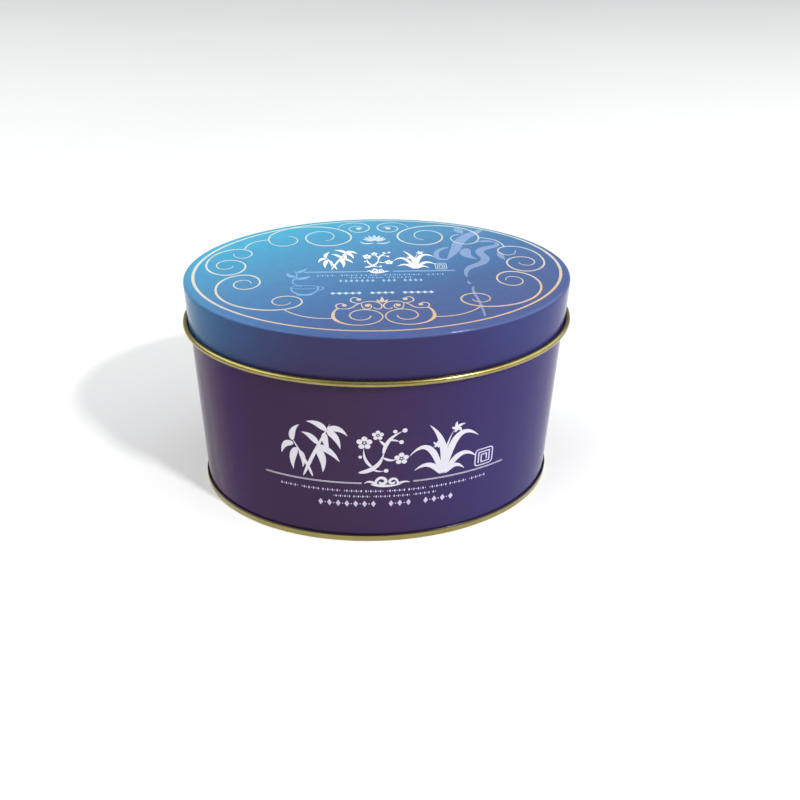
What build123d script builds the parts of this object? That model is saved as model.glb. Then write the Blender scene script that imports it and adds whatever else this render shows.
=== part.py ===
from build123d import *
import os

# Oval slip-lid tin in printed tinplate, in millimetres: a drawn lid, a formed body shell and a
# double-seamed bottom end. +Z is up. The origin is the centre of the base, where the tin stands.
# The long axis of the oval is X, and the front of the tin faces -Y.

# Driving dimensions
BODY_LENGTH = 150.0         # outside the body wall, along X
BODY_WIDTH = 104.0          # outside the body wall, along Y
TOTAL_HEIGHT = 94.5         # from the standing edge to the top of the lid
SHEET = 0.25                # gauge of the tinplate in all three pieces
LAYER_GAP = 0.03            # air between layers that are folded onto each other
FLAT_RING = 6.0             # flat band that each formed rim shares with its oval panel
PANEL_OVERLAP = 1.0         # how far an oval panel runs under that band

# Lid
LID_CLEARANCE = 0.25        # between the body wall and the inside of the skirt
LID_SHOULDER = 1.5          # outside radius between the lid's top and its skirt
LID_CURL_HEIGHT = 76.0      # height of the centre of the curl at the skirt's edge
LID_CURL_RADIUS = 1.2       # outside radius of that curl
LID_CURL_TURN = 300         # degrees that the edge is rolled outward

# Body shell
RIM_GAP = 0.15              # between the lid's underside and the body's rolled rim
RIM_RADIUS = 1.0            # outside radius of the rim, which is rolled inward
RIM_TURN = 300              # degrees that the rim is rolled
SIDE_SEAM_WIDTH = 4.0       # folded lock seam down the inside of the back
SIDE_SEAM_DEPTH = 0.5       # how far the seam's folds stand in from the wall
SIDE_SEAM_LOWER = 5.4       # the seam thins to one layer below this height
SIDE_SEAM_MARGIN = 3.0      # and again this far under the body's rim
GROOVE_WIDTH = 0.3          # line that the lock seam leaves on the outside
GROOVE_DEPTH = 0.08

# Double seam and bottom end
SEAM_HEIGHT = 3.2           # from the standing edge to the top of the seam
SEAM_CORNER = 0.35          # bend under the seam, to the middle of the sheet
FOOT_WEAR = 0.02            # pressed off the seam's underside, so that the tin stands flat
HOOK_END_DROP = 0.5         # the body hook stops this far under the seam's top
COVER_HOOK_END = 1.1        # height of the lower edge of the cover hook
PANEL_RIM_HEIGHT = 4.4      # upper face of the flat band inside the chuck wall
PANEL_RIM_BEND = 0.9        # bend between the chuck wall and that band
PANEL_STEP = 0.8            # how far the middle panel lies below the band
STEP_BEND = 0.6             # bends at the top and the foot of that step
BAND_WIDTH = 5.0            # flat band between the chuck wall and the step

HALF_SHEET = SHEET / 2
LAYER_PITCH = SHEET + LAYER_GAP
BODY_TOP = TOTAL_HEIGHT - SHEET - RIM_GAP
WALL_LINE = -HALF_SHEET


def oval(offset):
    """Ellipse that is the body's outline moved outward by offset."""
    return Ellipse(BODY_LENGTH / 2 + offset, BODY_WIDTH / 2 + offset)


def sheet_ring(centreline):
    """Sheet bent along a centreline and carried once round the tin.

    The centreline lies in a plane: X is the distance outside the body wall and Y is the height.
    """
    section = trace(centreline, line_width=SHEET).faces()[0]
    section = Pos(BODY_LENGTH / 2, 0, 0) * section.rotate(Axis.X, 90)
    round_the_tin = Wire([Edge.make_ellipse(BODY_LENGTH / 2, BODY_WIDTH / 2)])
    return sweep(section, path=round_the_tin, is_frenet=True)


def oval_panel(offset, top):
    """Flat oval plate with its upper face at the height top."""
    return Pos(0, 0, top) * extrude(oval(offset), amount=-SHEET)


def make_lid():
    """Drawn lid: flat top, shoulder, skirt and an edge rolled outward."""
    top = TOTAL_HEIGHT - HALF_SHEET
    skirt = LID_CLEARANCE + HALF_SHEET
    bend = LID_SHOULDER - HALF_SHEET
    roll = LID_CURL_RADIUS - HALF_SHEET
    with BuildLine() as line:
        Line((skirt - bend - FLAT_RING, top), (skirt - bend, top))
        CenterArc((skirt - bend, top - bend), bend, 90, -90)
        Line((skirt, top - bend), (skirt, LID_CURL_HEIGHT))
        CenterArc((skirt + roll, LID_CURL_HEIGHT), roll, 180, LID_CURL_TURN)
    rim = sheet_ring(line.line)
    return rim + oval_panel(skirt - bend - FLAT_RING + PANEL_OVERLAP, TOTAL_HEIGHT)


def make_body_shell():
    """Printed strip formed to an oval, rolled in at the top and hooked out at the bottom."""
    roll = RIM_RADIUS - HALF_SHEET
    turn = LAYER_PITCH
    fold_height = HALF_SHEET + LAYER_PITCH + turn
    hook = WALL_LINE + 2 * turn
    with BuildLine() as line:
        Line((hook, SEAM_HEIGHT - HOOK_END_DROP), (hook, fold_height))
        CenterArc((hook - turn, fold_height), turn, 0, -180)
        Line((WALL_LINE, fold_height), (WALL_LINE, BODY_TOP - RIM_RADIUS))
        CenterArc((WALL_LINE - roll, BODY_TOP - RIM_RADIUS), roll, 0, RIM_TURN)
    return sheet_ring(line.line) + side_seam() - seam_groove()


def back_bar(width, inner, outer, lower, upper):
    """Upright bar at the middle of the back, between two distances outside the wall."""
    back = BODY_WIDTH / 2
    return Pos(0, back + (inner + outer) / 2, (lower + upper) / 2) * Box(
        width, outer - inner, upper - lower
    )


def side_seam():
    """Folds of the lock seam, which stand in from the wall."""
    upper = BODY_TOP - 2 * RIM_RADIUS - SIDE_SEAM_MARGIN
    inner = -SHEET - SIDE_SEAM_DEPTH
    return back_bar(SIDE_SEAM_WIDTH, inner, WALL_LINE, SIDE_SEAM_LOWER, upper)


def seam_groove():
    """Shallow line beside the lock seam, on the outside of the wall."""
    upper = BODY_TOP - 2 * RIM_RADIUS - SIDE_SEAM_MARGIN
    line = back_bar(GROOVE_WIDTH, -GROOVE_DEPTH, SHEET, SIDE_SEAM_LOWER, upper)
    return Pos(SIDE_SEAM_WIDTH / 2, 0, 0) * line


def make_bottom_end():
    """Pressed end: stepped panel, chuck wall, and the seam folded round the body's hook."""
    chuck_wall = WALL_LINE - LAYER_PITCH
    cover_hook = WALL_LINE + LAYER_PITCH
    seaming_wall = WALL_LINE + 3 * LAYER_PITCH
    turn = LAYER_PITCH
    fold_height = SEAM_HEIGHT - HALF_SHEET - turn
    foot_line = HALF_SHEET - FOOT_WEAR
    corner = foot_line + SEAM_CORNER
    band = PANEL_RIM_HEIGHT - HALF_SHEET
    middle = band - PANEL_STEP
    bend = PANEL_RIM_BEND
    step_top = chuck_wall - bend - BAND_WIDTH
    with BuildLine() as line:
        Line((cover_hook, COVER_HOOK_END), (cover_hook, fold_height))
        CenterArc((cover_hook + turn, fold_height), turn, 180, -180)
        Line((seaming_wall, fold_height), (seaming_wall, corner))
        CenterArc((seaming_wall - SEAM_CORNER, corner), SEAM_CORNER, 0, -90)
        Line((seaming_wall - SEAM_CORNER, foot_line), (chuck_wall + SEAM_CORNER, foot_line))
        CenterArc((chuck_wall + SEAM_CORNER, corner), SEAM_CORNER, 270, -90)
        Line((chuck_wall, corner), (chuck_wall, band - bend))
        CenterArc((chuck_wall - bend, band - bend), bend, 0, 90)
        Line((chuck_wall - bend, band), (step_top, band))
        down = JernArc((step_top, band), (-1, 0), STEP_BEND, 60)
        drop = PANEL_STEP - 2 * (band - (down @ 1).Y)
        slope = Line(down @ 1, (down @ 1) + (down % 1) * (drop / abs((down % 1).Y)))
        foot = JernArc(slope @ 1, slope % 1, STEP_BEND, -60)
        Line(foot @ 1, ((foot @ 1).X - FLAT_RING, middle))
    panel = oval_panel((foot @ 1).X - FLAT_RING + PANEL_OVERLAP, middle + HALF_SHEET)
    below_the_foot = extrude(oval(BODY_WIDTH), amount=-SHEET)
    return sheet_ring(line.line) + panel - below_the_foot


os.makedirs("parts", exist_ok=True)
export_step(make_lid(), "parts/lid.step")
export_step(make_body_shell(), "parts/body_shell.step")
export_step(make_bottom_end(), "parts/bottom_end.step")
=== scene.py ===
import bisect
import math

import bmesh
import bpy
from mathutils import Matrix, Vector


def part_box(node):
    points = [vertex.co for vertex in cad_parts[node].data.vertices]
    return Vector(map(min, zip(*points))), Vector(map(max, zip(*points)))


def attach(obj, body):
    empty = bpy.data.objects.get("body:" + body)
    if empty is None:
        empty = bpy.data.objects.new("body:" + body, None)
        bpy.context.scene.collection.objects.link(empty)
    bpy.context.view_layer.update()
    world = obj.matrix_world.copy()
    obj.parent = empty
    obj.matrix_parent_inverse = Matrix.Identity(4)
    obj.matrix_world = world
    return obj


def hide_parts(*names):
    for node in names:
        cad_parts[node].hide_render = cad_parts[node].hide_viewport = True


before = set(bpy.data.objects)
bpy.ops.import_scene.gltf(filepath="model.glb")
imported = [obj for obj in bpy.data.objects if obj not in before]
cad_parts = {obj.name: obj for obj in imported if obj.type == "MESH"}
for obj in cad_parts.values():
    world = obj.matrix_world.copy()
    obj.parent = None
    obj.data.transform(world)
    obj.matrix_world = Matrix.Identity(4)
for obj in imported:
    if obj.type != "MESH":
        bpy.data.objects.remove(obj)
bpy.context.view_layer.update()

# Looks of the oval slip-lid tin. Lengths are in millimetres until a mesh is made, in the frame's
# axes: +X along the oval, the front faces -Y, +Z up.

MM = 0.001

# Sheet-metal sizes, as in the CAD model
SHEET = 0.25                 # gauge of the tinplate
LAYER = 0.28                 # from one folded layer to the next
FLAT_RING = 6.0              # flat band between a formed rim and the rings of its panel
LID_CLEARANCE = 0.25         # between the body wall and the inside of the skirt
LID_SHOULDER = 1.5           # outside radius
CURL_RADIUS = 1.2            # outside radius of the lid's curl
CURL_TURN = 300              # degrees
RIM_RADIUS = 1.0             # outside radius of the body's rolled rim
RIM_TURN = 300               # degrees
SEAM_HEIGHT = 3.2            # from the standing edge to the top of the double seam
SEAM_CORNER = 0.35           # bend under the seam
BODY_HOOK_DROP = 0.5         # the body hook stops this far under the seam's top
COVER_HOOK_END = 1.1         # height of the lower edge of the cover hook
BAND_HEIGHT = 4.4            # upper face of the bottom's flat band
BAND_WIDTH = 5.0
BAND_BEND = 0.9              # bend between the chuck wall and that band
PANEL_STEP = 0.8             # how far the middle panel lies below the band
STEP_BEND = 0.6
STEP_ANGLE = 60              # degrees

# Lock seam at the back: folds on the inside, a groove along one side of them on the outside
SIDE_SEAM = {
    "half_width": 2.0, "depth": 0.5, "groove": 0.08,
    "slope": 0.15,           # half the width of the groove, and of the slopes beside the folds
    "lower": 5.4,            # height of its lower end
    "margin": 5.0,           # from its upper end to the body's top
    "end": 0.2,              # half the height of the slopes at its ends
}

# Where the print stops
SKIRT_PRINT_END = 0.4        # above the middle of the lid's curl
BODY_PRINT_MARGIN = 2.2      # under the body's top, so that the rolled rim is bare

# Mesh
RING_STEPS = 480             # steps round the oval
PANEL_RINGS = 10             # rings between a formed rim and the middle of its flat panel
SHARP_ANGLE = 40             # degrees: shading is smooth over smaller bends
SCROLL_PITCH = 0.35          # between points along a scroll

# The oval's half axes at the body wall, and the heights, from the frame
LID_LOW, LID_HIGH = (Vector(corner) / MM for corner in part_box("lid"))
LID_OVERHANG = LID_CLEARANCE + 2 * CURL_RADIUS
HALF_LENGTH = min(LID_HIGH.x, -LID_LOW.x) - LID_OVERHANG
HALF_WIDTH = min(LID_HIGH.y, -LID_LOW.y) - LID_OVERHANG
LID_TOP = LID_HIGH.z
CURL_HEIGHT = LID_LOW.z + CURL_RADIUS
BODY_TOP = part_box("body_shell")[1][2] / MM

# Printed ink. The border is an oval line: its width is given at the ends and at the sides
INK_SINK = 0.02              # ink slabs start this far inside the sheet
INK_ROOM = 0.03              # the lid's sheet lies this far under the CAD top, so that its ink fits
INK_HEIGHT = {"haze": 0.006, "pale": 0.009, "gold": 0.012, "white": 0.018}
STROKE_STEP = 0.00025        # each stroke stands this much prouder than the last, where they cross
LID_PRINT_TURN = -1.2        # degrees: the print sits a little askew on the lid
LID_PRINT_SHIFT = (-0.4, 0.0)
BORDER = {"middle": (0.5, 0.7), "turn": 2.1, "half": (71.75, 48.9), "width": (1.15, 0.6)}


# ---------------- plane curves

def arc(centre, radius, start, turn, steps):
    """Points along an arc, angles in degrees."""
    angles = [math.radians(start + turn * i / steps) for i in range(steps + 1)]
    return [(centre[0] + radius * math.cos(a), centre[1] + radius * math.sin(a)) for a in angles]


def straight(start, end, steps):
    """Points along a straight line."""
    return [
        (start[0] + (end[0] - start[0]) * i / steps, start[1] + (end[1] - start[1]) * i / steps)
        for i in range(steps + 1)
    ]


def chain(*pieces):
    """Joins point lists end to end and drops the points that two of them share."""
    points = []
    for piece in pieces:
        for p in piece:
            if not points or math.dist(p, points[-1]) > 1e-6:
                points.append(p)
    return points


def normals(points):
    """Unit normals to the left of a path."""
    result = []
    for i in range(len(points)):
        a = points[max(i - 1, 0)]
        b = points[min(i + 1, len(points) - 1)]
        length = math.dist(a, b)
        result.append(((a[1] - b[1]) / length, (b[0] - a[0]) / length))
    return result


def scroll(turns, upright):
    """Scroll through its turning points, a quarter of an ellipse from each to the next.

    At the first point the path runs upright (along Y) or, if not upright, along X.
    """
    path = [turns[0]]
    for start, end in zip(turns, turns[1:]):
        dx = end[0] - start[0]
        dy = end[1] - start[1]
        steps = max(6, int(math.hypot(dx, dy) / SCROLL_PITCH))
        for i in range(1, steps + 1):
            s = math.sin(math.pi / 2 * i / steps)
            c = 1 - math.cos(math.pi / 2 * i / steps)
            across, along = (c, s) if upright else (s, c)
            path.append((start[0] + dx * across, start[1] + dy * along))
        upright = not upright
    return path


def bend(start, pull, end, steps=16):
    """Curve from start to end that is pulled towards one point."""
    path = []
    for i in range(steps + 1):
        t = i / steps
        a, b, c = (1 - t) ** 2, 2 * t * (1 - t), t * t
        path.append(tuple(a * start[k] + b * pull[k] + c * end[k] for k in range(2)))
    return path


# ---------------- sheet metal

def strip_outline(centreline):
    """Both faces of a sheet along a centreline: the left face, then the right face backwards."""
    left, right = [], []
    for (x, z), (nx, nz) in zip(centreline, normals(centreline)):
        left.append((x + nx * SHEET / 2, z + nz * SHEET / 2))
        right.append((x - nx * SHEET / 2, z - nz * SHEET / 2))
    return left, right[::-1]


def oval_angles(extra=()):
    """Angles round the oval, with more near the back where the side seam needs them."""
    angles = [2 * math.pi * i / RING_STEPS for i in range(RING_STEPS)]
    angles += [math.acos(x / HALF_LENGTH) for x in extra]
    return sorted(angles)


def oval_point(angle, offset):
    """Point at an angle round the oval, moved outward by offset."""
    x, y = HALF_LENGTH * math.cos(angle), HALF_WIDTH * math.sin(angle)
    nx, ny = HALF_WIDTH * math.cos(angle), HALF_LENGTH * math.sin(angle)
    length = math.hypot(nx, ny)
    return x + offset * nx / length, y + offset * ny / length


def add_ring(mesh, angles, offset, height, relief=None):
    """Ring of vertices round the tin."""
    ring = []
    for angle in angles:
        x, y = oval_point(angle, offset)
        if relief:
            x, y = oval_point(angle, offset + relief(x, y, height))
        ring.append(mesh.verts.new((x * MM, y * MM, height * MM)))
    return ring


def join_rings(mesh, low, high, material):
    """Band of faces between two rings."""
    for i in range(len(low)):
        j = (i + 1) % len(low)
        mesh.faces.new((low[i], low[j], high[j], high[i])).material_index = material


def fill_panel(mesh, rim, material):
    """Flat panel inside a ring of vertices, in rings that shrink to the middle."""
    height = rim[0].co.z
    previous = rim
    for k in range(1, PANEL_RINGS):
        scale = 1 - k / PANEL_RINGS
        ring = [mesh.verts.new((v.co.x * scale, v.co.y * scale, height)) for v in rim]
        join_rings(mesh, previous, ring, material)
        previous = ring
    middle = mesh.verts.new((0, 0, height))
    for i in range(len(previous)):
        face = mesh.faces.new((previous[i], previous[(i + 1) % len(previous)], middle))
        face.material_index = material


def make_object(name, mesh, materials):
    """Object from a bmesh, with outward normals and smooth shading up to an angle."""
    bmesh.ops.recalc_face_normals(mesh, faces=mesh.faces)
    data = bpy.data.meshes.new(name)
    mesh.to_mesh(data)
    mesh.free()
    for material in materials:
        data.materials.append(material)
    data.shade_smooth()
    data.set_sharp_from_angle(angle=math.radians(SHARP_ANGLE))
    piece = bpy.data.objects.new(name, data)
    bpy.context.scene.collection.objects.link(piece)
    return piece


def pressing(name, centreline, materials, zone, extra_angles=(), reliefs=(None, None), panel=False):
    """Sheet-metal piece: a centreline carried round the oval, with a flat panel if asked for.

    zone(side, x, z) gives the index of the material on the sheet's left (0) or right (1) face.
    The last of the materials is for the cut edges.
    """
    angles = oval_angles(extra_angles)
    mesh = bmesh.new()
    faces = []
    for side, outline in enumerate(strip_outline(centreline)):
        rings = [add_ring(mesh, angles, x, z, reliefs[side]) for x, z in outline]
        for low, high, (x, z) in zip(rings, rings[1:], outline):
            join_rings(mesh, low, high, zone(side, x, z))
        faces.append((rings, outline))
    (left, left_outline), (right, right_outline) = faces
    cut_edge = len(materials) - 1
    join_rings(mesh, left[-1], right[0], cut_edge)
    if panel:
        fill_panel(mesh, left[0], zone(0, *left_outline[0]))
        fill_panel(mesh, right[-1], zone(1, *right_outline[-1]))
    else:
        join_rings(mesh, right[-1], left[0], cut_edge)
    return make_object(name, mesh, materials)


# ---------------- ink

def on_lid(u, v, height):
    """Place on the lid's top for a point of its print."""
    turn = math.radians(LID_PRINT_TURN)
    x = u * math.cos(turn) - v * math.sin(turn) + LID_PRINT_SHIFT[0]
    y = u * math.sin(turn) + v * math.cos(turn) + LID_PRINT_SHIFT[1]
    return x * MM, y * MM, (LID_TOP - INK_ROOM + height) * MM


def front_angles():
    """Angle round the oval for each step of arc length from the middle of the front."""
    table = [(0.0, -math.pi / 2)]
    step = 0.001
    while table[-1][0] < HALF_LENGTH:
        angle = table[-1][1] + step
        speed = math.hypot(HALF_LENGTH * math.sin(angle), HALF_WIDTH * math.cos(angle))
        table.append((table[-1][0] + speed * step, angle))
    return table


FRONT = front_angles()


def on_front(u, v, height):
    """Place on the front of the body: u runs round the wall, v is the height above the base."""
    after = max(1, bisect.bisect_left(FRONT, (abs(u),)))
    (low, low_angle), (high, high_angle) = FRONT[after - 1], FRONT[after]
    share = (abs(u) - low) / (high - low)
    x, y = oval_point(low_angle + share * (high_angle - low_angle), height)
    return math.copysign(x, u) * MM, y * MM, v * MM


# For the start of a print's name: how it is placed, and the body that it rides on
SURFACES = {"lid": (on_lid, "lid"), "front": (on_front, "tin_body")}


class Print:
    """One piece of printing: thin closed slabs of one ink on one surface."""

    def __init__(self, name, ink, scale=(1, 1), move=(0, 0)):
        self.name = name
        self.place, self.body = SURFACES[name.split("_")[0]]
        self.scale = scale
        self.move = move
        self.mesh = bmesh.new()
        self.top = INK_HEIGHT[ink]

    def spot(self, p, height):
        """Vertex for a point of the print."""
        u = p[0] * self.scale[0] + self.move[0]
        v = p[1] * self.scale[1] + self.move[1]
        return self.mesh.verts.new(self.place(u, v, height))

    def slab(self, rows, closed=False):
        """Closed slab over rows of points that cross the stroke."""
        top = [[self.spot(p, self.top) for p in row] for row in rows]
        low = [[self.spot(p, -INK_SINK) for p in row] for row in rows]
        count = len(rows) if closed else len(rows) - 1
        for i in range(count):
            j = (i + 1) % len(rows)
            for k in range(len(rows[0]) - 1):
                self.mesh.faces.new((top[i][k], top[i][k + 1], top[j][k + 1], top[j][k]))
                self.mesh.faces.new((low[i][k], low[j][k], low[j][k + 1], low[i][k + 1]))
            for k in (0, -1):
                self.mesh.faces.new((top[i][k], top[j][k], low[j][k], low[i][k]))
        if not closed:
            for i in (0, -1):
                for k in range(len(rows[0]) - 1):
                    self.mesh.faces.new((top[i][k], low[i][k], low[i][k + 1], top[i][k + 1]))

    def stroke(self, path, width, lanes=2):
        """Stroke along a path. width(t) is its width, with t from 0 to 1 along the path."""
        self.top += STROKE_STEP
        rows = []
        for i, ((x, y), (nx, ny)) in enumerate(zip(path, normals(path))):
            half = width(i / (len(path) - 1)) / 2
            rows.append([
                (x + nx * half * (1 - 2 * k / lanes), y + ny * half * (1 - 2 * k / lanes))
                for k in range(lanes + 1)
            ])
        self.slab(rows)

    def oval(self, centre, half, steps=20):
        """Filled oval dot. It stops just short of its two ends, where the rows would close up."""
        self.top += STROKE_STEP
        rows = []
        for i in range(steps + 1):
            angle = math.pi * (i / steps) * 0.996 + 0.006
            rows.append([
                (centre[0] + half[0] * math.cos(angle), centre[1] + half[1] * math.sin(angle) * s)
                for s in (1, 1 / 3, -1 / 3, -1)
            ])
        self.slab(rows)

    def lozenge(self, centre, half):
        """Filled diamond. It stops just short of its two ends, where the rows would close up."""
        rows = [
            [(centre[0] + half[0] * t, centre[1] + half[1] * (1 - abs(t)) * s) for s in (1, -1)]
            for t in (-0.98, 0, 0.98)
        ]
        self.slab(rows)

    def bar(self, low, high, steps):
        """Filled upright rectangle, divided along its length."""
        rows = []
        for i in range(steps + 1):
            x = low[0] + (high[0] - low[0]) * i / steps
            rows.append([(x, low[1]), (x, high[1])])
        self.slab(rows)

    def finish(self, material):
        """Makes the piece."""
        piece = make_object(self.name, self.mesh, [material])
        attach(piece, self.body)


def even(width):
    """The same width all along."""
    return lambda t: width


def tapered(thin, thick):
    """Width of a pen line: thin at both ends and thick in the middle."""
    return lambda t: thin + (thick - thin) * math.sin(math.pi * t) ** 0.8


def swelling(thin, thick, at):
    """Width of a pen line that is thick near one place."""
    return lambda t: thin + (thick - thin) * math.exp(-((t - at) / 0.1) ** 2)


def brushed(width, belly=0.62):
    """Width of a brush leaf: a pointed start, a full belly and a fine tip."""
    return lambda t: max(0.06, width * math.sin(math.pi * t ** belly) ** 0.85)


# ---------------- node helpers

class Nodes:
    """Short way to build a material's node tree."""

    def __init__(self, name):
        self.material = bpy.data.materials.new(name)
        self.material.use_nodes = True
        self.tree = self.material.node_tree
        self.shader = self.tree.nodes["Principled BSDF"]
        self.place = self.add("ShaderNodeTexCoord").outputs["Object"]

    def add(self, kind, inputs=(), **settings):
        """Node with its inputs linked, or set where a value is given."""
        node = self.tree.nodes.new(kind)
        for key, value in settings.items():
            setattr(node, key, value)
        for key, value in dict(inputs).items():
            if isinstance(value, bpy.types.NodeSocket):
                self.tree.links.new(value, node.inputs[key])
            else:
                node.inputs[key].default_value = value
        return node

    def link(self, output, socket):
        """Links an output to the shader."""
        self.tree.links.new(output, self.shader.inputs[socket])

    def set(self, **values):
        """Sets values on the shader's own sockets."""
        for key, value in values.items():
            self.shader.inputs[key.replace("_", " ")].default_value = value

    def stretched(self, x, y, z):
        """Object coordinates in millimetres, scaled along each axis."""
        scale = (x / MM, y / MM, z / MM)
        return self.add(
            "ShaderNodeVectorMath", {0: self.place, 1: scale}, operation="MULTIPLY"
        ).outputs[0]

    def noise(self, scale, detail, roughness):
        """Noise, with its scale per millimetre along each axis."""
        place = self.stretched(*scale)
        return self.add(
            "ShaderNodeTexNoise",
            {"Vector": place, "Scale": 1.0, "Detail": detail, "Roughness": roughness},
        ).outputs["Fac"]

    def along(self, direction):
        """Distance along a direction, in millimetres."""
        vector = tuple(c / MM for c in direction)
        return self.add(
            "ShaderNodeVectorMath", {0: self.place, 1: vector}, operation="DOT_PRODUCT"
        ).outputs["Value"]

    def oval_share(self):
        """Distance from the middle of the tin, as a share of the distance to the body wall."""
        flat = self.stretched(1 / HALF_LENGTH, 1 / HALF_WIDTH, 0)
        return self.add("ShaderNodeVectorMath", {0: flat}, operation="LENGTH").outputs["Value"]

    def remap(self, value, low, high, to_low=0.0, to_high=1.0):
        """Value from one range taken to another, and clamped to it."""
        return self.add(
            "ShaderNodeMapRange",
            {"Value": value, "From Min": low, "From Max": high, "To Min": to_low, "To Max": to_high},
        ).outputs["Result"]

    def math(self, operation, a, b=0):
        return self.add("ShaderNodeMath", {0: a, 1: b}, operation=operation).outputs[0]

    def ramp(self, value, stops):
        """Colour ramp from (position, colour) stops."""
        node = self.add("ShaderNodeValToRGB", {"Fac": value})
        elements = node.color_ramp.elements
        while len(elements) < len(stops):
            elements.new(0.5)
        for element, (position, colour) in zip(elements, stops):
            element.position = position
            element.color = colour
        return node.outputs["Color"]

    def mix(self, factor, a, b):
        """Colour between a and b."""
        return self.add("ShaderNodeMix", {0: factor, 6: a, 7: b}, data_type="RGBA").outputs[2]

    def bump(self, height, strength, distance, normal=None):
        """Bump that rises a distance in millimetres, over another bump's normal if given."""
        inputs = {"Height": height, "Strength": strength, "Distance": distance * MM}
        if normal:
            inputs["Normal"] = normal
        return self.add("ShaderNodeBump", inputs).outputs["Normal"]


# ---------------- materials

def varnish(nodes, colour):
    """Clear varnish over ink: fine grain, slight waviness and a few faint rub marks."""
    grain = nodes.noise((0.22, 0.22, 1.3), 3.0, 0.6)
    tone = nodes.remap(grain, 0.25, 0.75, 0.95, 1.05)
    shade = nodes.add("ShaderNodeVectorMath", {0: colour, 3: tone}, operation="SCALE").outputs[0]
    nodes.link(shade, "Base Color")
    wear = nodes.noise((0.05, 0.05, 0.05), 5.0, 0.6)
    nodes.link(nodes.remap(wear, 0.3, 0.7, 0.11, 0.19), "Roughness")
    wave = nodes.noise((0.035, 0.035, 0.035), 1.0, 0.5)
    soft = nodes.bump(wave, 0.3, 0.1)
    peel = nodes.noise((0.5, 0.5, 0.5), 2.0, 0.5)
    nodes.link(nodes.bump(peel, 0.08, 0.012, soft), "Normal")
    nodes.set(Specular_IOR_Level=0.135)


def print_ramp(nodes, direction, stops):
    """Colours along a direction, from (millimetres, colour) stops."""
    low, high = stops[0][0], stops[-1][0]
    share = nodes.remap(nodes.along(direction), low, high)
    return nodes.ramp(share, [((at - low) / (high - low), (*c, 1)) for at, c in stops])


ALONG, BACKWARD, UP = (1, 0, 0), (0, 1, 0), (0, 0, 1)
FADE = (-0.48, 0.877, 0)     # the lid's print turns from indigo to sky blue along this
LID_FADE_STOPS = (
    (-52, (0.070, 0.100, 0.250)),
    (-25, (0.065, 0.124, 0.290)),
    (-10, (0.064, 0.165, 0.350)),
    (7, (0.075, 0.208, 0.408)),
    (15, (0.077, 0.239, 0.428)),
    (40, (0.066, 0.325, 0.535)),
    (52, (0.068, 0.390, 0.580)),
)
GOLD_FADE = (-0.25, 0.97, 0)    # the gold print turns from orange to cream along this
GOLD_FADE_STOPS = (
    (-38, (0.640, 0.430, 0.250)),
    (-22, (0.620, 0.520, 0.400)),
    (-5, (0.620, 0.580, 0.500)),
    (20, (0.640, 0.670, 0.570)),
    (40, (0.600, 0.700, 0.620)),
)
SKIRT_STOPS = (
    (-75, (0.015, 0.140, 0.285)),
    (-63, (0.025, 0.098, 0.228)),
    (-56, (0.031, 0.074, 0.193)),
    (-43, (0.035, 0.047, 0.134)),
    (-29, (0.036, 0.032, 0.102)),
    (0, (0.034, 0.027, 0.097)),
    (29, (0.034, 0.029, 0.124)),
    (43, (0.032, 0.036, 0.145)),
    (56, (0.030, 0.037, 0.150)),
    (75, (0.012, 0.020, 0.140)),
)
BODY_STOPS = (
    (-75, (0.065, 0.028, 0.068)),
    (-60, (0.026, 0.004, 0.064)),
    (-48, (0.032, 0.012, 0.055)),
    (-20, (0.036, 0.017, 0.056)),
    (0, (0.039, 0.019, 0.070)),
    (20, (0.036, 0.020, 0.091)),
    (39, (0.035, 0.022, 0.115)),
    (56, (0.029, 0.020, 0.118)),
    (75, (0.022, 0.010, 0.115)),
)
RUBBED_PLACE = (24.0, -52.0, CURL_HEIGHT)    # the curl's lacquer is most rubbed here


def lid_colours(nodes):
    """The lid's printed fade, from sky blue at the back left to indigo at the front right."""
    return print_ramp(nodes, FADE, LID_FADE_STOPS)


def lid_print_material():
    """The lid's fade on top, which gives way to the body's indigo below the shoulder."""
    nodes = Nodes("lid_print")
    height = nodes.along(UP)
    # The skirt turns darker towards the bottom: there its colour is mixed up to 0.3 of the way to the
    # body's colours.
    lower = nodes.remap(height, LID_LOW.z + 2, LID_TOP - 5, 0.3, 0.0)
    wall = print_ramp(nodes, ALONG, BODY_STOPS)
    skirt = nodes.mix(lower, print_ramp(nodes, ALONG, SKIRT_STOPS), wall)
    upper = nodes.remap(height, LID_TOP - 1.25, LID_TOP - 0.75)
    varnish(nodes, nodes.mix(upper, skirt, lid_colours(nodes)))
    return nodes.material


def body_print_material():
    """Indigo wall. The ink is cracked to bare metal along the fold of the side seam."""
    nodes = Nodes("body_print")
    wall = print_ramp(nodes, ALONG, BODY_STOPS)
    beside = nodes.math("SUBTRACT", nodes.along(ALONG), SIDE_SEAM["half_width"])
    from_fold = nodes.math("ABSOLUTE", beside)
    cracks = nodes.noise((1.5, 1.5, 0.35), 3.0, 0.6)
    reach = nodes.remap(cracks, 0.35, 0.65, 0.02, 0.13)
    line = nodes.math("LESS_THAN", from_fold, reach)
    behind = nodes.math("GREATER_THAN", nodes.along(BACKWARD), 0)
    bare = nodes.math("MULTIPLY", line, behind)
    varnish(nodes, nodes.mix(bare, wall, (0.20, 0.19, 0.18, 1)))
    return nodes.material


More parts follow.
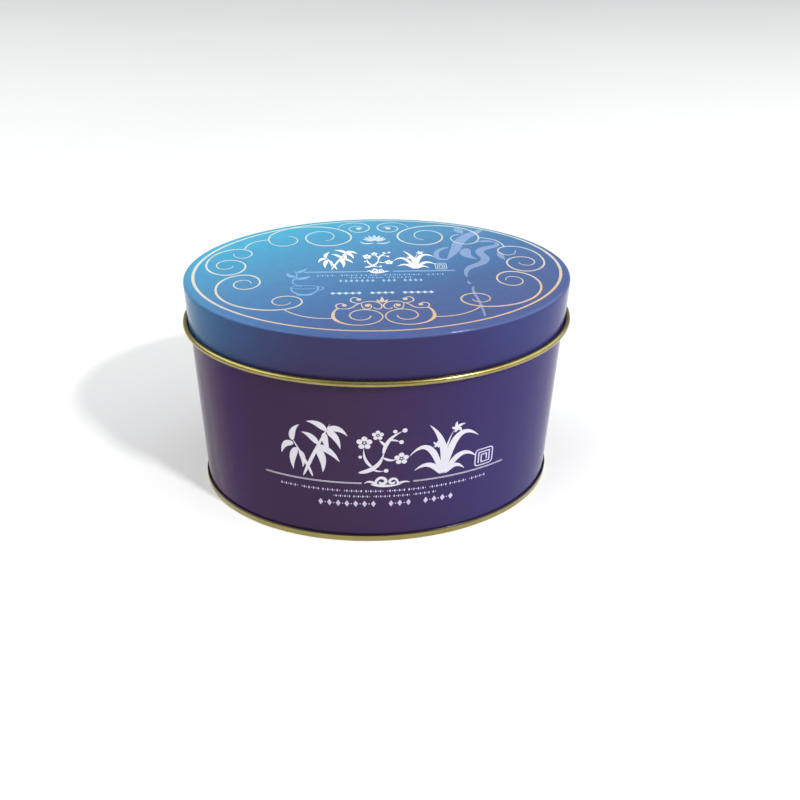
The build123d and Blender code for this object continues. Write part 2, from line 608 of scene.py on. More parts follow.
def gold_lacquer_material(name, worn=False, seam=False):
    """Gold lacquer over tinplate: draw lines, tarnish and, if worn, rubbed spots.

    With seam, painted shade turns the lacquer near black along the top of the double seam, where it
    meets the wall in shadow.
    """
    nodes = Nodes(name)
    lines = nodes.noise((0.2, 0.2, 6.0), 3.0, 0.6)
    patches = nodes.noise((0.09, 0.09, 0.09), 4.0, 0.6)
    gold = nodes.ramp(patches, [
        (0.3, (0.265, 0.205, 0.052, 1)),
        (0.5, (0.300, 0.245, 0.064, 1)),
        (0.7, (0.335, 0.280, 0.080, 1)),
    ])
    rough = nodes.remap(lines, 0.3, 0.7, 0.24, 0.32)
    if worn:
        spots = nodes.noise((0.9, 0.9, 2.2), 5.0, 0.75)
        offset = nodes.add(
            "ShaderNodeVectorMath",
            {0: nodes.place, 1: tuple(c * MM for c in RUBBED_PLACE)},
            operation="DISTANCE",
        ).outputs["Value"]
        near = nodes.remap(offset, 4 * MM, 13 * MM, 0.13, 0.0)
        rubbed = nodes.remap(nodes.math("ADD", spots, near), 0.66, 0.72)
        gold = nodes.mix(rubbed, gold, (0.46, 0.43, 0.34, 1))
        rough = nodes.math("ADD", rough, nodes.math("MULTIPLY", rubbed, 0.2))
    if seam:
        # Painted shade: near black, fading in from 0.7 mm under the seam's top and upward, outside
        # the wall only, where the seam meets the wall in shadow.
        shaded_crease = nodes.remap(nodes.along(UP), SEAM_HEIGHT - 0.7, SEAM_HEIGHT - 0.4)
        outside = nodes.math("GREATER_THAN", nodes.oval_share(), 0.998)
        gold = nodes.mix(nodes.math("MULTIPLY", shaded_crease, outside), gold, (0.035, 0.03, 0.02, 1))
    nodes.link(gold, "Base Color")
    nodes.link(rough, "Roughness")
    nodes.link(nodes.bump(lines, 0.12, 0.008), "Normal")
    nodes.set(Metallic=1.0, Coat_Weight=0.5, Coat_Roughness=0.18)
    return nodes.material


def edge_material():
    """Bare tinplate at the sheet's cut edges."""
    nodes = Nodes("bare_edge")
    scratches = nodes.noise((2.0, 2.0, 2.0), 3.0, 0.6)
    steel = nodes.ramp(scratches, [(0.3, (0.40, 0.39, 0.37, 1)), (0.7, (0.62, 0.61, 0.58, 1))])
    nodes.link(steel, "Base Color")
    nodes.link(nodes.remap(scratches, 0.3, 0.7, 0.25, 0.45), "Roughness")
    nodes.link(nodes.bump(scratches, 0.2, 0.01), "Normal")
    nodes.set(Metallic=1.0)
    return nodes.material


def ink_material(name, low, high, direction=BACKWARD, reach=50):
    """Ink under the varnish, fading from one colour to another along a direction."""
    nodes = Nodes(name)
    varnish(nodes, print_ramp(nodes, direction, ((-reach, low), (reach, high))))
    return nodes.material


def gold_ink_material():
    """Gold print: cream at the back left, orange at the front, with duller stretches."""
    nodes = Nodes("gold_ink")
    gold = print_ramp(nodes, GOLD_FADE, GOLD_FADE_STOPS)
    patches = nodes.noise((0.11, 0.11, 0.11), 2.0, 0.5)
    dull = nodes.remap(patches, 0.52, 0.66, 0.0, 0.4)
    varnish(nodes, nodes.mix(dull, gold, (0.36, 0.43, 0.48, 1)))
    return nodes.material


def haze_material():
    """Pale ghost printing: the lid's own colour, lifted towards lavender white."""
    nodes = Nodes("haze_ink")
    varnish(nodes, nodes.mix(0.27, lid_colours(nodes), (0.62, 0.72, 1.0, 1)))
    return nodes.material


GOLD_LACQUER = gold_lacquer_material("gold_lacquer")
WORN_LACQUER = gold_lacquer_material("gold_lacquer_worn", worn=True)
# The bottom end's lacquer, with painted shade along the top of its double seam.
SEAM_LACQUER_SHADED = gold_lacquer_material("gold_lacquer_seam_shaded", seam=True)
BARE_EDGE = edge_material()
LID_PRINT = lid_print_material()
BODY_PRINT = body_print_material()
GOLD_INK = gold_ink_material()
WHITE_INK = ink_material("white_ink", (0.84, 0.86, 0.90), (0.88, 0.92, 0.95))
PALE_WHITE = ink_material("pale_white_ink", (0.47, 0.61, 0.72), (0.54, 0.68, 0.72))
PALE_LIGHT = ink_material("light_blue_ink", (0.32, 0.48, 0.66), (0.33, 0.54, 0.72))
PALE_INK = ink_material("pale_blue_ink", (0.18, 0.36, 0.61), (0.22, 0.48, 0.74))
HAZE_INK = haze_material()
FRONT_INK = ink_material("front_ink", (0.67, 0.63, 0.67), (0.66, 0.64, 0.74), ALONG, 60)
FRONT_FINE = ink_material("front_fine_ink", (0.50, 0.44, 0.60), (0.60, 0.56, 0.78), ALONG, 60)


# ---------------- the tin

def lid_centreline():
    """From the flat top over the shoulder, down the skirt and round the outward curl."""
    top = LID_TOP - INK_ROOM - SHEET / 2
    skirt = LID_CLEARANCE + SHEET / 2
    shoulder = LID_SHOULDER - SHEET / 2
    roll = CURL_RADIUS - SHEET / 2
    return chain(
        straight((skirt - shoulder - FLAT_RING, top), (skirt - shoulder, top), 6),
        arc((skirt - shoulder, top - shoulder), shoulder, 90, -90, 14),
        straight((skirt, top - shoulder), (skirt, CURL_HEIGHT), 12),
        arc((skirt + roll, CURL_HEIGHT), roll, 180, CURL_TURN, 44),
    )


def make_lid():
    """Lid: print outside, down to just above the curl, and gold lacquer elsewhere."""
    def zone(side, x, z):
        above_curl = z > CURL_HEIGHT + SKIRT_PRINT_END and x < LID_CLEARANCE + SHEET * 1.2
        return 0 if side == 0 and above_curl else 1

    piece = pressing(
        "lid_pressing", lid_centreline(), [LID_PRINT, WORN_LACQUER, BARE_EDGE], zone, panel=True
    )
    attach(piece, "lid")
    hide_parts("lid")


def body_centreline():
    """From the hook inside the double seam, up the wall and round the inward rim."""
    wall = -SHEET / 2
    fold = SHEET / 2 + 2 * LAYER
    hook = wall + 2 * LAYER
    roll = RIM_RADIUS - SHEET / 2
    low, high, end = SIDE_SEAM["lower"], BODY_TOP - SIDE_SEAM["margin"], SIDE_SEAM["end"]
    return chain(
        straight((hook, SEAM_HEIGHT - BODY_HOOK_DROP), (hook, fold), 2),
        arc((hook - LAYER, fold), LAYER, 0, -180, 12),
        straight((wall, fold), (wall, low - end), 3),
        straight((wall, low - end), (wall, low + end), 2),
        straight((wall, low + end), (wall, high - end), 24),
        straight((wall, high - end), (wall, high + end), 2),
        straight((wall, high + end), (wall, BODY_TOP - RIM_RADIUS), 3),
        arc((wall - roll, BODY_TOP - RIM_RADIUS), roll, 0, RIM_TURN, 40),
    )


def beside_seam(y, z):
    """Whether a place is at the height of the lock seam, on the back half."""
    return y > 0 and SIDE_SEAM["lower"] <= z <= BODY_TOP - SIDE_SEAM["margin"]


def seam_groove(x, y, z):
    """Outside of the wall: a shallow line along one side of the lock seam."""
    near = abs(x - SIDE_SEAM["half_width"]) < SIDE_SEAM["slope"] / 2
    return -SIDE_SEAM["groove"] if near and beside_seam(y, z) else 0


def seam_ridge(x, y, z):
    """Inside of the wall: the folds of the lock seam."""
    near = abs(x) < SIDE_SEAM["half_width"] + SIDE_SEAM["slope"] / 2
    return -SIDE_SEAM["depth"] if near and beside_seam(y, z) else 0


def make_body_shell():
    """Body shell: print outside, below the rolled rim, and gold lacquer elsewhere."""
    def zone(side, x, z):
        return 0 if side == 1 and z < BODY_TOP - BODY_PRINT_MARGIN else 1

    steps = (-SIDE_SEAM["slope"], 0, SIDE_SEAM["slope"])
    seam_edges = [side * SIDE_SEAM["half_width"] + step for side in (-1, 1) for step in steps]
    piece = pressing(
        "body_pressing", body_centreline(), [BODY_PRINT, GOLD_LACQUER, BARE_EDGE], zone,
        extra_angles=seam_edges, reliefs=(seam_ridge, seam_groove),
    )
    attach(piece, "tin_body")
    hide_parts("body_shell")


def panel_step(edge, band):
    """Step down from the band's inner edge to the middle panel: a bend, a slope and a bend."""
    lean = math.radians(STEP_ANGLE)
    upper = arc((edge, band - STEP_BEND), STEP_BEND, 90, STEP_ANGLE, 8)
    slope = PANEL_STEP - 2 * STEP_BEND * (1 - math.cos(lean))
    x, z = upper[-1][0] - slope / math.tan(lean), upper[-1][1] - slope
    centre = (x - STEP_BEND * math.sin(lean), z + STEP_BEND * math.cos(lean))
    return upper + arc(centre, STEP_BEND, STEP_ANGLE - 90, -STEP_ANGLE, 8)


def bottom_centreline():
    """From the panel up its step, down the chuck wall, under the foot and over to the cover hook."""
    wall = -SHEET / 2
    chuck, hook, seam = wall - LAYER, wall + LAYER, wall + 3 * LAYER
    fold = SEAM_HEIGHT - SHEET / 2 - LAYER
    corner = SHEET / 2 + SEAM_CORNER
    band = BAND_HEIGHT - SHEET / 2
    step = panel_step(chuck - BAND_BEND - BAND_WIDTH, band)
    from_hook = chain(
        straight((hook, COVER_HOOK_END), (hook, fold), 2),
        arc((hook + LAYER, fold), LAYER, 180, -180, 16),
        straight((seam, fold), (seam, corner), 4),
        arc((seam - SEAM_CORNER, corner), SEAM_CORNER, 0, -90, 8),
        arc((chuck + SEAM_CORNER, corner), SEAM_CORNER, 270, -90, 8),
        straight((chuck, corner), (chuck, band - BAND_BEND), 3),
        arc((chuck - BAND_BEND, band - BAND_BEND), BAND_BEND, 0, 90, 10),
        straight((chuck - BAND_BEND, band), step[0], 3),
        step,
        straight(step[-1], (step[-1][0] - FLAT_RING, step[-1][1]), 2),
    )
    return from_hook[::-1]


def make_bottom_end():
    """Bottom end: gold lacquer on both faces, with painted shade along the top of the double seam."""
    piece = pressing(
        "bottom_pressing", bottom_centreline(), [SEAM_LACQUER_SHADED, BARE_EDGE],
        zone=lambda side, x, z: 0, panel=True,
    )
    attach(piece, "tin_body")
    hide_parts("bottom_end")


# ---------------- the lid's print

def both_sides(path):
    """A path and its mirror image about the print's upright axis."""
    return path, [(-x, y) for x, y in path]


def lid_border():
    """Oval line round the lid's print, broader at the oval's ends."""
    ink = Print("lid_border_line", "gold")
    turn = Matrix.Rotation(math.radians(BORDER["turn"]), 2)
    middle, half, width = (Vector(BORDER[key]) for key in ("middle", "half", "width"))
    rows = []
    for i in range(RING_STEPS):
        angle = 2 * math.pi * i / RING_STEPS
        around = Vector((math.cos(angle), math.sin(angle)))
        rows.append([turn @ ((half + width * share) * around) + middle for share in (0.5, 0, -0.5)])
    ink.slab(rows, closed=True)
    ink.finish(GOLD_INK)


def lid_scrollwork():
    """Mirrored pairs of gold scrolls round the lid, and the ornament at its front."""
    ink = Print("lid_scrollwork", "gold")
    eye_scroll = scroll(
        [(15.0, 41.4), (8.0, 47.2), (1.7, 42.0), (6.4, 36.9), (10.5, 40.8), (6.9, 43.6), (4.6, 41.2)],
        upright=True,
    )
    top_scroll = scroll(
        [(20.6, 28.6), (17.0, 33.0), (22.2, 38.2), (28.8, 31.6), (19.8, 23.3), (9.8, 31.9),
         (26.6, 43.4), (44.2, 31.0), (38.2, 23.5), (32.2, 29.0), (36.2, 33.4)],
        upright=False,
    )
    side_scroll = scroll(
        [(57.4, 16.6), (53.9, 12.2), (50.1, 16.2), (55.6, 20.8), (67.2, 6.8), (58.6, -3.0),
         (51.8, 4.3), (58.4, 10.4), (63.2, 6.1), (60.0, 2.3), (56.7, 5.0)],
        upright=True,
    )
    lower_scroll = scroll(
        [(48.6, -10.6), (51.5, -7.5), (55.1, -11.2), (50.9, -15.2), (45.4, -9.6), (51.6, -3.1),
         (61.4, -14.0), (39.5, -31.9), (29.2, -25.9), (34.8, -21.2), (40.1, -25.2), (36.6, -28.3),
         (33.4, -25.8)],
        upright=True,
    )
    for half, width in (
        (eye_scroll, tapered(0.25, 0.5)),
        (top_scroll, tapered(0.3, 0.75)),
        (side_scroll, tapered(0.3, 0.75)),
        (lower_scroll, tapered(0.3, 0.85)),
        (bend((44.4, 30.0), (53.0, 28.5), (53.4, 20.4)), even(0.5)),
        (bend((35.4, -31.9), (28.5, -39.4), (18.0, -38.7)), even(0.5)),
    ):
        for path in both_sides(half):
            ink.stroke(path, width)
    for side in (-1, 1):
        ink.oval((side * 6.3, 41.0), (1.15, 1.15))
    foot_ornament(ink)
    ink.finish(GOLD_INK)


def foot_ornament(ink):
    """Pair of volutes with small sprigs, at the front of the lid's print."""
    volute = scroll(
        [(15.8, -31.6), (18.1, -37.0), (8.8, -44.0), (0.5, -38.0), (7.0, -32.7), (12.2, -37.0),
         (8.2, -40.4), (4.7, -37.3)],
        upright=False,
    )
    outer_knob = scroll([(15.2, -31.8), (17.0, -29.5), (15.2, -27.8), (13.8, -29.2)], upright=False)
    upper_knob = scroll([(7.6, -27.9), (11.6, -25.5), (10.2, -23.2), (8.5, -24.9)], upright=False)
    inner_ring = scroll(
        [(7.6, -27.9), (4.4, -26.4), (0.3, -30.0), (2.0, -32.4), (3.3, -31.0)], upright=True
    )
    small_ring = scroll([(7.8, -27.6), (6.2, -32.4), (4.1, -30.2), (5.4, -28.4)], upright=True)
    sway = chain(
        bend((15.6, -31.7), (12.0, -32.6), (10.4, -30.0)),
        bend((10.4, -30.0), (9.4, -28.4), (7.6, -27.5)),
    )
    for half, width in (
        (volute, swelling(0.5, 1.3, 0.14)),
        (outer_knob, tapered(0.3, 0.55)),
        (upper_knob, tapered(0.3, 0.55)),
        (inner_ring, tapered(0.3, 0.55)),
        (small_ring, tapered(0.3, 0.5)),
        (sway, tapered(0.3, 0.6)),
    ):
        for path in both_sides(half):
            ink.stroke(path, width)
    for side in (-1, 1):
        ink.oval((side * 13.9, -29.2), (0.9, 0.9))
        ink.oval((side * 8.5, -24.8), (0.95, 0.95))
        ink.oval((side * 5.6, -29.6), (0.95, 0.95))
        ink.stroke(bend((side * 0.7, -27.0), (side * 1.6, -26.2), (side * 2.1, -24.9)), brushed(1.1))
    ink.stroke(bend((0, -27.4), (0, -25), (0, -22.9)), brushed(1.4))


# Three brush-painted plants: (start, pull, end, width) of every stroke, in mm from the middle
BAMBOO = (
    ((-4.6, -13.5), (0.6, 0.0), (6.6, 12.6), 1.4),
    ((-0.8, -13.2), (-3.4, -5.0), (-8.8, 4.4), 1.2),
    ((5.6, 9.8), (9.6, 12.0), (12.9, 7.4), 2.6),
    ((5.2, 9.2), (9.0, 7.6), (10.2, 1.2), 2.8),
    ((4.9, 9.2), (2.4, 13.0), (-2.4, 12.6), 2.6),
    ((4.4, 8.2), (4.0, 4.6), (6.2, -1.0), 2.4),
    ((1.7, 2.6), (-0.6, 7.0), (-4.4, 7.4), 2.4),
    ((1.4, 1.8), (6.4, 1.0), (9.8, -5.0), 2.8),
    ((1.0, 1.0), (4.4, -3.4), (3.2, -10.6), 3.0),
    ((-7.8, 1.2), (-11.8, 2.2), (-12.9, -4.0), 2.6),
    ((-6.6, -0.4), (-9.4, -4.6), (-8.4, -11.0), 2.8),
    ((-8.2, 2.8), (-9.0, 7.6), (-5.2, 10.6), 2.4),
    ((-5.6, -1.6), (-3.6, -4.6), (-4.6, -9.4), 2.1),
)
BLOSSOM_TWIG = (
    ((-9.2, -9.8), (-0.6, -8.6), (0.6, 0.4), 1.9),
    ((0.3, -1.2), (0.8, 6.6), (7.6, 9.4), 1.5),
    ((-3.6, -7.2), (-7.6, -4.0), (-7.0, 2.0), 1.2),
    ((0.3, -2.6), (2.6, -4.6), (5.4, -3.6), 1.1),
    ((1.2, 3.0), (-0.2, 4.4), (-1.4, 5.8), 1.1),
    ((2.4, 5.6), (4.8, 5.6), (6.4, 4.6), 0.8),
    ((-4.6, -7.6), (-1.8, -9.6), (0.6, -9.0), 0.8),
)
BLOSSOMS = ((-6.8, 4.4, 3.1), (-1.8, 7.9, 2.3), (7.2, -3.4, 2.9))
BUDS = ((8.2, 9.7, 0.95), (4.6, 9.4, 0.8), (7.0, 4.4, 0.9), (1.4, -8.9, 0.9), (-8.4, -2.2, 0.7))
ORCHID = (
    ((-0.8, -12.0), (-5.6, 9.6), (-13.9, -1.8), 2.5),
    ((-0.4, -12.0), (1.6, 4.0), (-6.4, 12.0), 2.9),
    ((0.2, -12.1), (3.2, 14.4), (14.0, 2.9), 2.9),
    ((0.7, -12.1), (6.4, 1.4), (13.6, -7.0), 2.5),
    ((-1.2, -12.0), (-5.4, -3.0), (-11.8, -8.8), 2.3),
    ((0.9, -12.0), (4.4, -6.0), (8.8, -11.6), 2.0),
    ((0.0, -11.0), (-0.8, 0.0), (3.4, 8.2), 1.0),
)
ORCHID_FLOWERS = ((4.6, 9.0, 3.5, 20), (-3.0, 2.6, 2.7, 65))


def blossom(ink, x, y, radius):
    """Open five-petalled blossom with a dot in the middle."""
    for i in range(5):
        angle = math.radians(90 + 72 * i)
        petal = (x + 0.62 * radius * math.cos(angle), y + 0.62 * radius * math.sin(angle))
        ink.oval(petal, (0.36 * radius, 0.36 * radius), steps=12)
    ink.oval((x, y), (0.13 * radius, 0.13 * radius), steps=8)


def orchid_flower(ink, x, y, reach, turn):
    """Small flower with five narrow petals."""
    for i, share in enumerate((1.0, 0.8, 0.65, 0.65, 0.8)):
        angle = math.radians(turn + 72 * i)
        side = math.radians(turn + 72 * i + 25)
        tip = (x + reach * share * math.cos(angle), y + reach * share * math.sin(angle))
        pull = (x + reach * 0.5 * math.cos(side), y + reach * 0.5 * math.sin(side))
        ink.stroke(bend((x, y), pull, tip, 10), brushed(reach * 0.36), lanes=4)


def leaves(ink, strokes):
    """Brush strokes from a table."""
    for start, pull, end, width in strokes:
        ink.stroke(bend(start, pull, end, 22), brushed(width), lanes=4)


def bamboo(ink):
    leaves(ink, BAMBOO)


def blossom_twig(ink):
    leaves(ink, BLOSSOM_TWIG)
    for x, y, radius in BLOSSOMS:
        blossom(ink, x, y, radius)
    for x, y, radius in BUDS:
        ink.oval((x, y), (radius, radius), steps=10)


def orchid(ink):
    leaves(ink, ORCHID)
    for flower in ORCHID_FLOWERS:
        orchid_flower(ink, *flower)


def printed(name, ink, material, draw, scale=(1, 1), move=(0, 0)):
    """One piece of printing, drawn by a function."""
    piece = Print(name, ink, scale, move)
    draw(piece)
    piece.finish(material)


def painted_plants(surface, material, middles, scale):
    """The three plants of a title, at their middles."""
    for plant, middle in zip((bamboo, blossom_twig, orchid), middles):
        printed(surface + "_" + plant.__name__, "white", material, plant, scale, middle)


def cloud(ink):
    """Small curling cloud, 18 mm across."""
    left = scroll([(-4.6, -1.2), (-2.3, 2.2), (-0.5, 0.3), (-2.1, -0.7), (-2.9, 0.3)], upright=True)
    right = scroll([(4.2, -1.3), (2.5, 1.6), (0.9, 0.2), (2.1, -0.7), (2.8, 0.1)], upright=True)
    ink.stroke(left, tapered(0.8, 1.3), lanes=4)
    ink.stroke(right, tapered(0.7, 1.1), lanes=4)
    ink.stroke(bend((-6.4, -0.9), (0.0, -2.7), (6.0, -1.1), 24), brushed(1.3), lanes=4)
    ink.stroke(bend((-3.6, -1.2), (-7.2, 1.6), (-8.9, -0.7)), brushed(1.1), lanes=4)
    ink.stroke(bend((3.4, -1.2), (7.4, 0.6), (8.9, -0.9)), brushed(0.9), lanes=4)


def rules(ink, reach, gap, offsets, width):
    """Thin rules to the left and the right of a gap."""
    for side in (-1, 1):
        near, far = sorted((side * gap, side * reach))
        for offset in offsets:
            ink.bar((near, offset - width / 2), (far, offset + width / 2), steps=24)


def fine_row(ink, half_length, height, size):
    """Row of fine lozenges and dots in groups, as an ornament."""
    pitch = size * 0.62
    count = int(half_length / pitch)
    for i in range(-count, count + 1):
        if (i + count) % 9 == 8:
            continue
        if i % 2:
            ink.lozenge((i * pitch, height), (size * 0.13, size * 0.24))
        else:
            ink.lozenge((i * pitch, height), (size * 0.24, size * 0.5))


def grouped_row(ink, groups, pitch, half):
    """Row of lozenges in groups, with a dot between each two of a group."""
    x = -(sum(groups) + len(groups) - 2) / 2 * pitch
    for group in groups:
        for i in range(group):
            ink.lozenge((x, 0), half)
            if i < group - 1:
                ink.oval((x + pitch / 2, 0), (half[0] * 0.28, half[0] * 0.28), steps=8)
            x += pitch
        x += pitch


def fret(ink, size):
    """Square spiral in a frame with rounded corners."""
    r = size * 0.18
    h = size / 2
    corners = ((h - r, h - r, 0), (r - h, h - r, 90), (r - h, r - h, 180), (h - r, r - h, 270))
    bends = [arc((x, y), r, start, 90, 5) for x, y, start in corners]
    sides = [straight(a[-1], b[0], 6) for a, b in zip(bends, bends[1:] + bends[:1])]
    w = size * 0.07
    ink.stroke(chain(*(p for pair in zip(bends, sides) for p in pair)), even(w))
    a, b = h * 0.62, h * 0.3
    spiral = [(-a, -a), (-a, a), (a, a), (a, -a), (-b, -a), (-b, b), (b, b), (b, -b)]
    for (x0, y0), (x1, y1) in zip(spiral, spiral[1:]):
        low = (min(x0, x1) - w / 2, min(y0, y1) - w / 2)
        high = (max(x0, x1) + w / 2, max(y0, y1) + w / 2)
        ink.bar(low, high, steps=4)


def lid_palmette():
    """Fan of petals over two curved leaves, at the head of the lid's print."""
    ink = Print("lid_palmette", "white", move=(0, 27.0))
    for i in range(-3, 4):
        angle = math.radians(90 - 24 * i)
        reach = 5.6 - 0.35 * abs(i)
        start = (0.9 * math.cos(angle), 0.9 * math.sin(angle))
        end = (1.15 * reach * math.cos(angle), reach * math.sin(angle) + 1.6)
        ink.stroke(straight(start, end, 12), brushed(1.5, 0.9), lanes=4)
    for side in (-1, 1):
        leaf = bend((side * 0.3, -1.4), (side * 5.0, -3.2), (side * 6.3, 0.5))
        ink.stroke(leaf, brushed(1.1, 0.8), lanes=4)
    ink.finish(PALE_WHITE)


def lid_cup():
    """Cup with a sprig rising from it, beside the lid's title."""
    ink = Print("lid_cup", "pale", move=(-28.6, -15.4))
    bowl = scroll([(-5.0, 1.0), (0.2, -4.9), (5.3, 1.2)], upright=True)
    ink.stroke(bowl, tapered(0.45, 0.8))
    rim = scroll([(-5.0, 1.0), (0.1, -0.1), (5.3, 1.2), (0.1, 2.7), (-5.0, 1.0)], upright=True)
    ink.stroke(rim, even(0.35))
    handle = chain(
        bend((5.1, 1.6), (8.2, 1.4), (6.8, -0.6)), bend((6.8, -0.6), (6.0, -1.5), (4.6, -1.5))
    )
    ink.stroke(handle, even(0.45))
    ink.stroke(bend((-2.8, -4.9), (0.2, -5.8), (3.2, -4.8)), even(0.5))
    stem = chain(
        bend((-1.0, 1.6), (-6.4, 4.6), (-3.6, 8.6)), bend((-3.6, 8.6), (-2.0, 11.2), (-4.4, 15.4))
    )
    ink.stroke(stem, tapered(0.25, 0.6))
    for start, pull, end, width in (
        ((-3.6, 8.6), (0.2, 8.0), (2.2, 10.8), 1.9),
        ((-3.3, 10.4), (-6.2, 10.0), (-6.9, 13.6), 1.9),
        ((-3.6, 13.6), (-1.6, 14.0), (1.0, 17.6), 1.6),
    ):
        ink.stroke(bend(start, pull, end, 16), brushed(width, 0.8), lanes=4)
    ink.finish(PALE_INK)


def lid_steam():
    """Pale wisps of steam up the right of the lid."""
    ink = Print("lid_steam", "haze")
    low = chain(
        bend((36.0, -38.8), (36.2, -30.0), (34.9, -22.0), 20),
        bend((34.9, -22.0), (34.2, -18.0), (35.4, -15.6), 10),
    )
    ink.stroke(low, tapered(0.8, 1.1), lanes=2)
    ink.stroke(bend((34.7, -13.6), (33.5, -12.4), (34.0, -10.4), 8), brushed(1.3))
    rise = chain(
        bend((34.0, -7.6), (33.2, -0.2), (38.6, 2.8), 18),
        bend((38.6, 2.8), (45.8, 7.0), (43.0, 12.6)),
        bend((43.0, 12.6), (40.6, 17.6), (47.6, 20.2)),
        bend((47.6, 20.2), (53.6, 22.6), (49.2, 25.6)),
    )
    ink.stroke(rise, tapered(0.5, 3.6), lanes=6)
    ink.stroke(bend((49.6, 25.7), (46.0, 27.2), (42.0, 25.0), 14), brushed(2.0), lanes=4)
    ink.stroke(bend((38.2, 19.2), (33.6, 12.6), (40.6, 8.6), 18), brushed(4.6), lanes=6)
    loop = chain(
        bend((28.8, 9.0), (23.6, 7.6), (24.2, 13.4), 14),
        bend((24.2, 13.4), (24.8, 19.0), (30.2, 20.4), 14),
    )
    ink.stroke(loop, tapered(0.8, 2.2), lanes=4)
    main = chain(
        bend((28.6, 9.6), (31.6, 14.6), (33.4, 20.6)),
        bend((33.4, 20.6), (35.6, 28.6), (41.4, 33.6), 18),
        bend((41.4, 33.6), (45.6, 37.0), (47.2, 39.4), 12),
    )
    ink.stroke(main, tapered(0.9, 4.6), lanes=6)
    ink.stroke(bend((34.6, 39.6), (37.2, 38.6), (37.6, 33.8), 12), brushed(4.0, 0.8), lanes=6)
    ink.stroke(bend((50.8, 15.6), (49.6, 11.6), (51.8, 7.6), 12), brushed(2.8, 0.8), lanes=4)
    ink.finish(HAZE_INK)


def lid_title():
    """Plants, divider and ornament rows in the middle of the lid."""
    painted_plants("lid", WHITE_INK, ((-15.6, 9.8), (0.2, 9.2), (14.8, 9.0)), (0.61, 0.7))
    printed("lid_cloud", "white", WHITE_INK, cloud, (0.5, 0.8), (-0.2, -1.2))
    fine = Print("lid_fine_rows", "pale", move=(0.6, 0))
    rules(fine, 29.4, 5.0, (-1.15, -1.75), 0.3)
    fine_row(fine, 24.6, -4.6, 1.5)
    fine_row(fine, 12.2, -6.8, 1.3)
    fine.finish(PALE_LIGHT)
    band = Print("lid_lozenge_row", "pale", move=(0.5, -9.4))
    grouped_row(band, (7, 3, 4), 2.05, (0.62, 1.25))
    band.finish(PALE_LIGHT)
    foot = Print("lid_foot_row", "white", move=(0.4, -19.6))
    grouped_row(foot, (5, 4, 5), 2.45, (1.0, 1.1))
    foot.finish(PALE_WHITE)
    seal = Print("lid_fret", "white", (1, 1.2), (24.9, 2.6))
    fret(seal, 4.4)
    seal.finish(PALE_WHITE)


def front_title():
    """The same title, larger, on the front of the body."""
    painted_plants("front", FRONT_INK, ((-28.4, 44.5), (-2.4, 44.5), (21.6, 43.4)), (1, 1))
    rule = Print("front_divider", "white", move=(-0.3, 29.6))
    rules(rule, 48.6, 10.0, (-0.22, 0.22), 0.2)
    rule.finish(FRONT_INK)
    printed("front_cloud", "white", FRONT_INK, cloud, move=(-0.5, 30.0))
    fine = Print("front_fine_rows", "pale", move=(-1.2, 0))
    fine_row(fine, 41.4, 25.6, 1.5)
    fine_row(fine, 20.2, 22.9, 1.4)
    fine.finish(FRONT_FINE)
    band = Print("front_lozenge_row", "pale", move=(-0.6, 19.15))
    grouped_row(band, (7, 3, 4), 3.45, (0.95, 1.6))
    band.finish(FRONT_FINE)
    seal = Print("front_fret", "pale", move=(38.9, 35.0))
    fret(seal, 7.8)
    seal.finish(FRONT_FINE)


make_lid()
make_body_shell()
make_bottom_end()
lid_border()
lid_scrollwork()
lid_palmette()
lid_cup()
lid_steam()
lid_title()
front_title()


# ---------------- studio

FLOOR_RADIUS = 6.0    # metres
FLOOR_STEPS = 96
OVERHEAD = {"energy": 0.15, "angle": 55, "from": (0.15, -0.05, 1.0)}
# Softboxes: direction from the tin in degrees (azimuth to the right of the front), metres, watts
SOFTBOXES = {
    "key": {"azimuth": 43, "elevation": 48, "distance": 1.2, "size": (0.10, 0.06), "power": 7.0},
    "right": {"azimuth": 84, "elevation": 34, "distance": 1.5, "size": (2.0, 0.9), "power": 11.0},
    "left": {"azimuth": -84, "elevation": 46, "distance": 1.5, "size": (2.0, 0.8), "power": 12.5},
}
# Strength of the room's light at two places along Y
ROOM_LIGHT = {"From Min": -0.9, "From Max": 0.3, "To Min": 0.36, "To Max": 0.42}
ROOM_COLOUR = (0.96, 0.98, 1.0, 1)
CAMERA = {
    "azimuth": -6.30, "elevation": 34.24, "roll": 1.435,
    "distance": 0.36524, "target": (0.00938, 0.0, 0.03234), "lens": 37.86,
}


def floor_material():
    nodes = Nodes("studio_floor")
    mottle = nodes.noise((0.004, 0.004, 0.004), 2.0, 0.5)
    pale = nodes.ramp(mottle, [(0.3, (0.93, 0.93, 0.925, 1)), (0.7, (0.95, 0.95, 0.945, 1))])
    nodes.link(pale, "Base Color")
    nodes.link(nodes.remap(mottle, 0.3, 0.7, 0.85, 0.95), "Roughness")
    nodes.set(Specular_IOR_Level=0.1)
    return nodes.material


def make_floor():
    """Large round pale floor."""
    mesh = bmesh.new()
    angles = [2 * math.pi * i / FLOOR_STEPS for i in range(FLOOR_STEPS)]
    mesh.faces.new([
        mesh.verts.new((FLOOR_RADIUS * math.cos(a), FLOOR_RADIUS * math.sin(a), 0)) for a in angles
    ])
    make_object("studio_floor", mesh, [floor_material()])


def direction(azimuth, elevation):
    """Unit vector from the tin, in degrees to the right of the front and above the floor."""
    azimuth, elevation = math.radians(azimuth), math.radians(elevation)
    return Vector((
        math.sin(azimuth) * math.cos(elevation),
        -math.cos(azimuth) * math.cos(elevation),
        math.sin(elevation),
    ))


def place_light(light, place):
    """Lamp at a place, turned towards the tin."""
    lamp = bpy.data.objects.new(light.name, light)
    lamp.location = place
    lamp.rotation_euler = Vector(place).to_track_quat("Z", "Y").to_euler()
    bpy.context.scene.collection.objects.link(lamp)


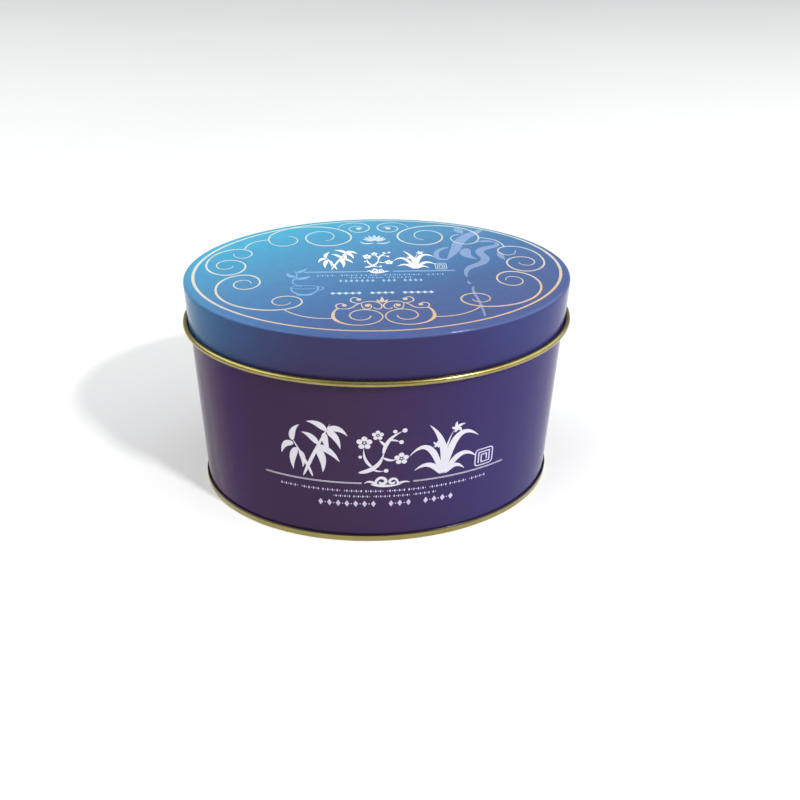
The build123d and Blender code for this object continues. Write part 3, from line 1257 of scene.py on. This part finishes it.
def make_lights():
    """Broad soft light from above, and softboxes whose reflections light the formed edges."""
    overhead = bpy.data.lights.new("overhead", "SUN")
    overhead.energy = OVERHEAD["energy"]
    overhead.angle = math.radians(OVERHEAD["angle"])
    place_light(overhead, OVERHEAD["from"])
    for name, box in SOFTBOXES.items():
        light = bpy.data.lights.new(name, "AREA")
        light.shape = "RECTANGLE"
        light.size, light.size_y = box["size"]
        light.energy = box["power"]
        place_light(light, direction(box["azimuth"], box["elevation"]) * box["distance"])


def make_world():
    """Pale room, a little darker in front of the tin."""
    world = bpy.data.worlds.new("studio")
    world.use_nodes = True
    nodes = world.node_tree.nodes
    around = nodes.new("ShaderNodeTexCoord")
    split = nodes.new("ShaderNodeSeparateXYZ")
    ramp = nodes.new("ShaderNodeMapRange")
    world.node_tree.links.new(around.outputs["Generated"], split.inputs[0])
    world.node_tree.links.new(split.outputs["Y"], ramp.inputs["Value"])
    for socket, value in ROOM_LIGHT.items():
        ramp.inputs[socket].default_value = value
    background = nodes["Background"]
    background.inputs["Color"].default_value = ROOM_COLOUR
    world.node_tree.links.new(ramp.outputs["Result"], background.inputs["Strength"])
    bpy.context.scene.world = world
    bpy.context.scene.view_settings.view_transform = "Standard"


def make_camera():
    """Camera that looks at its target, rolled a little."""
    roll = math.radians(CAMERA["roll"])
    back = direction(CAMERA["azimuth"], CAMERA["elevation"])
    right = Vector((0, 0, 1)).cross(back).normalized()
    up = back.cross(right)
    turned_right = right * math.cos(roll) + up * math.sin(roll)
    turned_up = up * math.cos(roll) - right * math.sin(roll)
    data = bpy.data.cameras.new("camera")
    data.sensor_width = 36
    data.lens = CAMERA["lens"]
    data.clip_start = 0.01
    camera = bpy.data.objects.new("camera", data)
    rotation = Matrix((turned_right, turned_up, back)).transposed().to_4x4()
    place = Vector(CAMERA["target"]) + back * CAMERA["distance"]
    camera.matrix_world = Matrix.Translation(place) @ rotation
    bpy.context.scene.collection.objects.link(camera)
    bpy.context.scene.camera = camera


make_floor()
make_lights()
make_world()
make_camera()
